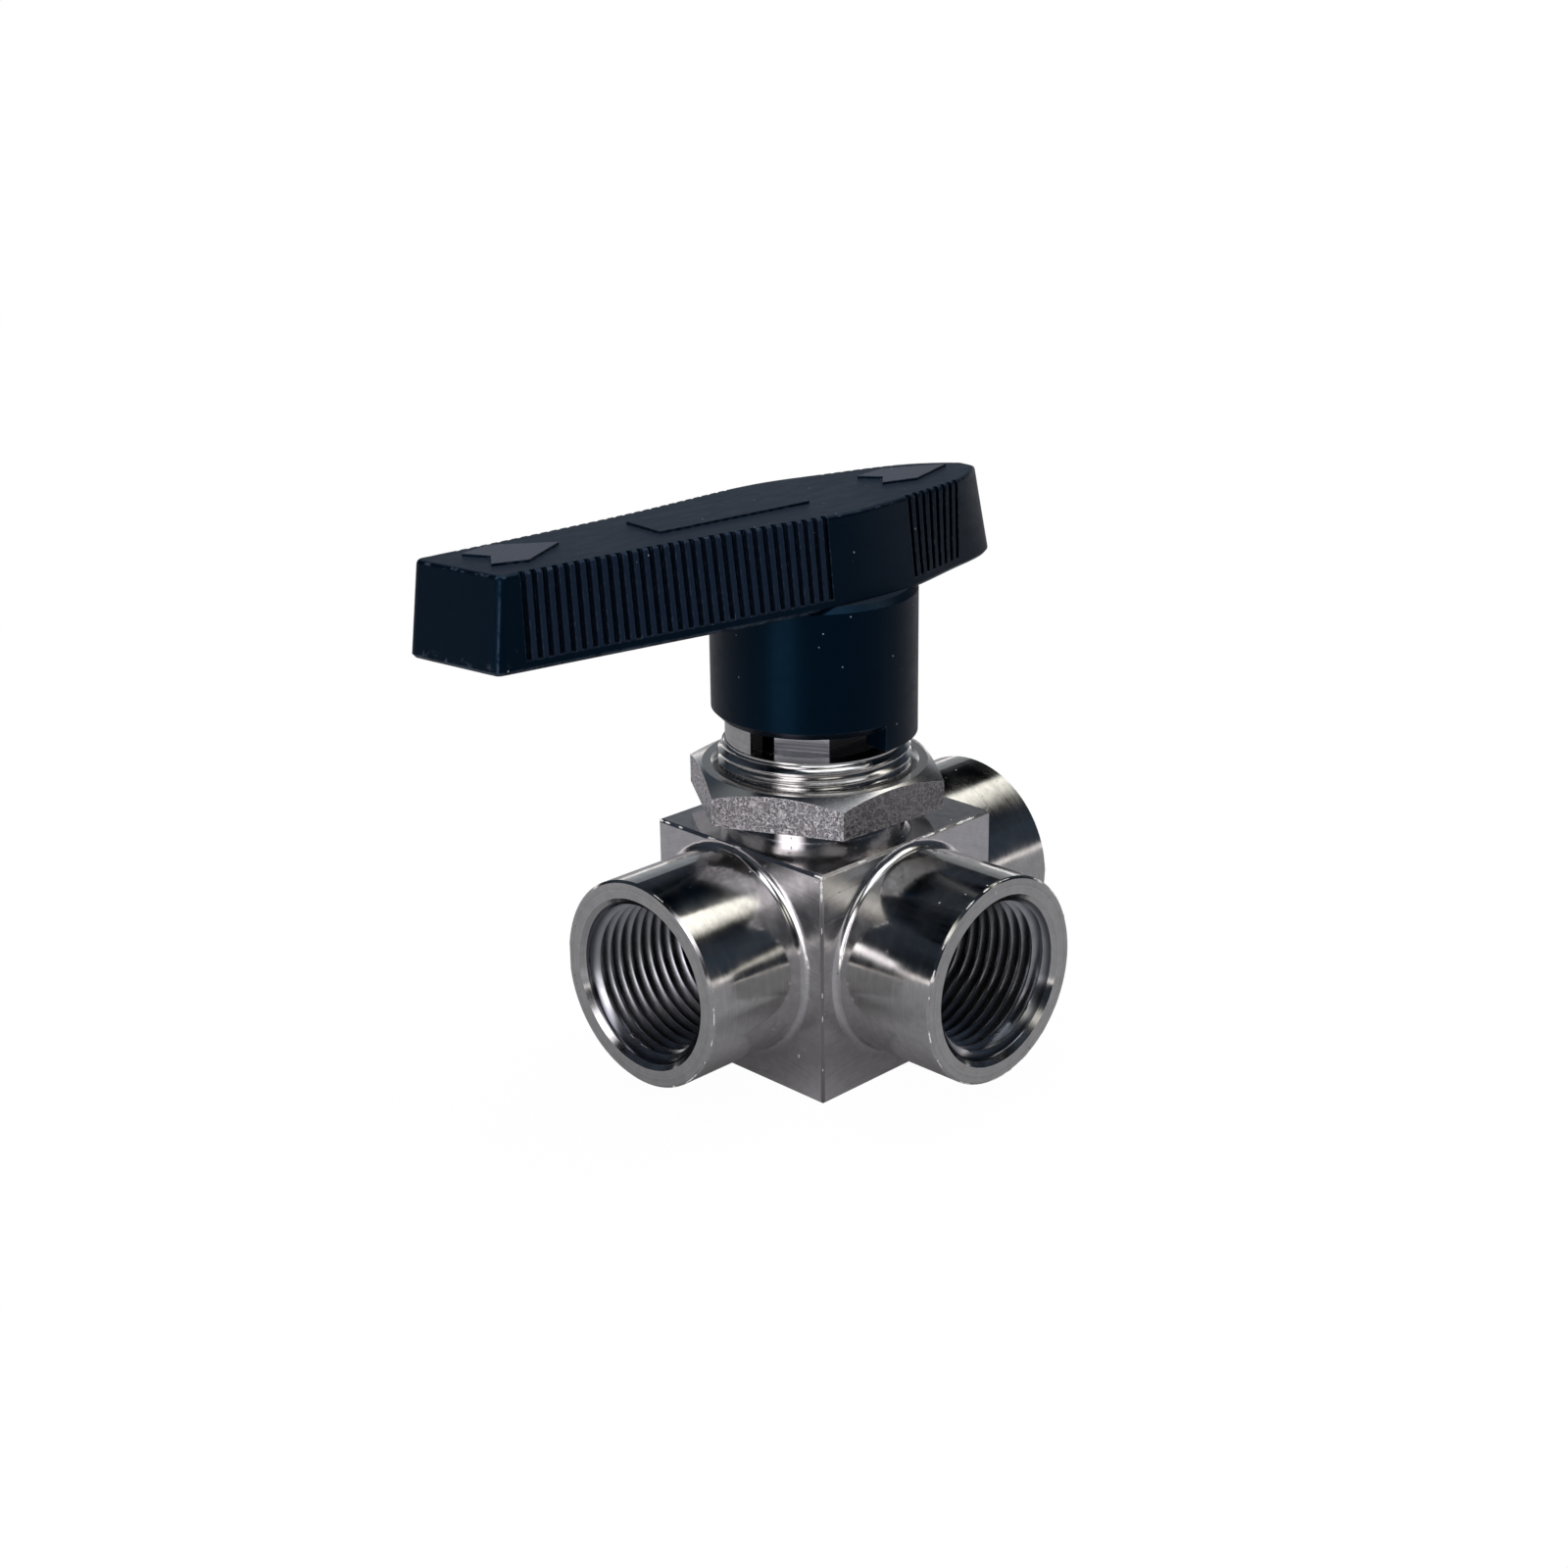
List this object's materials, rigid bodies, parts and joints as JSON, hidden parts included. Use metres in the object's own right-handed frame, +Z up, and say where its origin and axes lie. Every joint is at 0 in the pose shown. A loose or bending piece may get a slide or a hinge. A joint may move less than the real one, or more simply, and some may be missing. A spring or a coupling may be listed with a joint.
{
  "type": "three way ball valve",
  "caption": "Small stainless three way ball valve with a cube body, threaded side ports, a panel mount bonnet and a ribbed lever handle that turns a quarter turn.",
  "frame": {"origin": "on the stem axis, at the underside of the block", "axes": "+Z up along the stem, +X along the run towards the right port, -Y towards the branch port"},
  "size_m": [0.0672, 0.0373, 0.0577],
  "materials": {
    "body_steel": "turned and milled stainless steel with fine tool marks",
    "nut_steel": "turned top, grit blasted flats",
    "bolt_steel": "turned stainless steel",
    "inner_steel": "plain stainless steel",
    "ball_steel": "polished stainless steel",
    "stem_steel": "ground stainless steel",
    "insert_steel": "plain stainless steel",
    "screw_steel": "dark hardened steel",
    "side_steel": "sintered stainless steel",
    "spring_steel": "rolled spring steel",
    "packing_ptfe": "white fluoropolymer",
    "bearing_peek": "tan engineering plastic",
    "handle_nylon": "satin moulded nylon"
  },
  "bodies": {
    "housing": {"valve_body": "body_steel", "panel_nut": "nut_steel", "packing_lower": "packing_ptfe", "packing_upper": "packing_ptfe", "gland_washer": "inner_steel", "thrust_washer": "inner_steel", "packing_bolt": "bolt_steel", "stem_bearing": "bearing_peek", "side_disc_left": "side_steel", "side_ring_left": "side_steel", "side_disc_right": "side_steel", "side_ring_right": "side_steel", "side_disc_branch": "side_steel", "side_ring_branch": "side_steel", "disc_spring_lower": "spring_steel", "disc_spring_middle": "spring_steel", "disc_spring_upper": "spring_steel"},
    "rotor": {"ball": "ball_steel", "stem": "stem_steel", "handle": "handle_nylon", "handle_insert": "insert_steel", "handle_set_screw": "screw_steel"}
  },
  "joints": [
    {"name": "handle_turn", "type": "hinge", "parent": "housing", "child": "rotor", "pos_m": [0, 0, 0.0131], "axis": [0, 0, 1], "range_deg": [-84.4, 5.6]}
  ]
}
